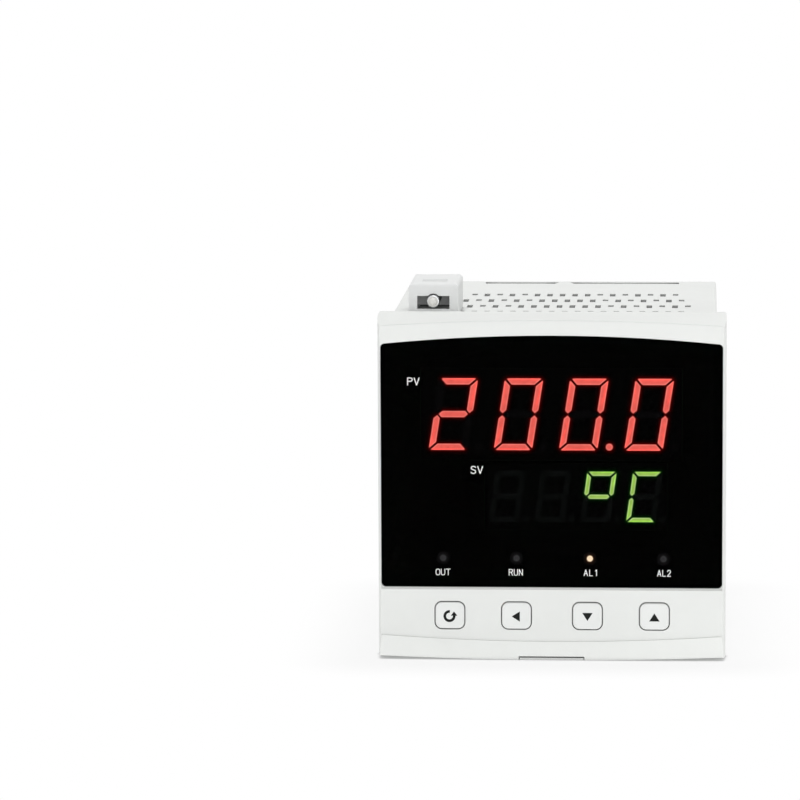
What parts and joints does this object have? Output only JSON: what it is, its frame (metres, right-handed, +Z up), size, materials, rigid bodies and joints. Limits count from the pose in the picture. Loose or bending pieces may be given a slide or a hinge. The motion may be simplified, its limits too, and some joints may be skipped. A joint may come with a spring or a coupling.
{
  "type": "panel temperature controller",
  "caption": "Panel-mount PID temperature controller: vented square housing, draw-out front with process and set-point read-outs, lights and keys, and a screw clip behind the panel.",
  "frame": {"origin": "centre of the square panel cut-out, in the plane where the flange seats on the panel face", "axes": "-Y is the way the front faces, +Y runs back through the panel, +Z is up, +X is to the right as seen from the front"},
  "size_m": [0.096, 0.1107, 0.1028],
  "materials": {
    "shell_white": "finely grained moulded ABS, satin",
    "clip_white": "finely grained moulded plastic",
    "key_white": "smooth satin plastic",
    "smoked_lens": "dark smoked acrylic, polished",
    "mask_black": "black moulded plastic",
    "display_black": "black display block",
    "segment_red_lit": "lit red diffuser",
    "segment_red_off": "unlit diffuser",
    "segment_green_lit": "lit green diffuser",
    "segment_green_off": "unlit diffuser",
    "guide_clear": "unlit light guide",
    "guide_lit": "lit light guide",
    "led_white": "small LED body",
    "plunger_grey": "switch plunger",
    "switch_black": "switch body",
    "board_green": "solder-masked glass-fibre board",
    "zinc_steel": "bright zinc plate",
    "header_black": "header moulding",
    "bridge_grey": "plain moulded plastic",
    "ferrite": "dark ferrite",
    "bobbin_yellow": "taped winding",
    "capacitor_sleeve": "shrunk sleeve",
    "surge_blue": "dipped coating",
    "fuse_glass": "cartridge fuse",
    "relay_blue": "relay cover",
    "chip_black": "moulded package",
    "socket_black": "edge socket moulding",
    "terminal_nickel": "nickel-plated brass",
    "foot_ivory": "pale moulded foot"
  },
  "bodies": {
    "case": {"housing": "shell_white", "rear_cover": "shell_white", "edge_sockets": "socket_black", "terminal_plates": "terminal_nickel", "terminal_screws": "zinc_steel"},
    "chassis": {"front_bezel": "shell_white", "display_window": "smoked_lens", "display_mask": "mask_black", "pv_display": "display_black", "pv_segments_lit": "segment_red_lit", "pv_segments_unlit": "segment_red_off", "sv_display": "display_black", "sv_segments_lit": "segment_green_lit", "sv_segments_unlit": "segment_green_off", "light_guides": "guide_clear", "light_guide_lit": "guide_lit", "indicator_leds": "led_white", "switch_bodies": "switch_black", "front_board": "board_green", "board_screws": "zinc_steel", "board_headers": "header_black", "power_board": "board_green", "main_board": "board_green", "rear_bridge": "bridge_grey", "transformer_core": "ferrite", "transformer_bobbin": "bobbin_yellow", "input_capacitor": "capacitor_sleeve", "output_capacitors": "capacitor_sleeve", "surge_disc": "surge_blue", "line_fuse": "fuse_glass", "relays": "relay_blue", "controller_chip": "chip_black", "converter_chip": "chip_black"},
    "clip": {"mounting_clip": "clip_white"},
    "clip_foot": {"clip_foot": "foot_ivory"},
    "clip_screw": {"clip_screw": "zinc_steel"},
    "set_key": {"key_set": "key_white", "plunger_set": "plunger_grey"},
    "shift_key": {"key_shift": "key_white", "plunger_shift": "plunger_grey"},
    "down_key": {"key_down": "key_white", "plunger_down": "plunger_grey"},
    "up_key": {"key_up": "key_white", "plunger_up": "plunger_grey"}
  },
  "joints": [
    {"name": "chassis_draw", "type": "slide", "parent": "case", "child": "chassis", "axis": [0, -1, 0], "range_m": [0, 0.085]},
    {"name": "set_press", "type": "slide", "parent": "chassis", "child": "set_key", "axis": [0, 1, 0], "range_m": [0, 0.0008], "stiffness_N_per_m": 800, "springref_m": -0.0005},
    {"name": "shift_press", "type": "slide", "parent": "chassis", "child": "shift_key", "axis": [0, 1, 0], "range_m": [0, 0.0008], "stiffness_N_per_m": 800, "springref_m": -0.0005},
    {"name": "down_press", "type": "slide", "parent": "chassis", "child": "down_key", "axis": [0, 1, 0], "range_m": [0, 0.0008], "stiffness_N_per_m": 800, "springref_m": -0.0005},
    {"name": "up_press", "type": "slide", "parent": "chassis", "child": "up_key", "axis": [0, 1, 0], "range_m": [0, 0.0008], "stiffness_N_per_m": 800, "springref_m": -0.0005},
    {"name": "clip_slide", "type": "slide", "parent": "case", "child": "clip", "axis": [0, -1, 0], "range_m": [0, 0.006]},
    {"name": "foot_press", "type": "slide", "parent": "clip", "child": "clip_foot", "axis": [0, -1, 0], "range_m": [0, 0.003]},
    {"name": "screw_turn", "type": "hinge", "parent": "clip_foot", "child": "clip_screw", "pos_m": [-0.0333, 0.02, 0.05], "axis": [0, -1, 0], "range_deg": [0, 1800]}
  ],
  "couplings": [
    {"joint": "screw_turn", "follows": "foot_press", "rad_per_m": 10472}
  ]
}
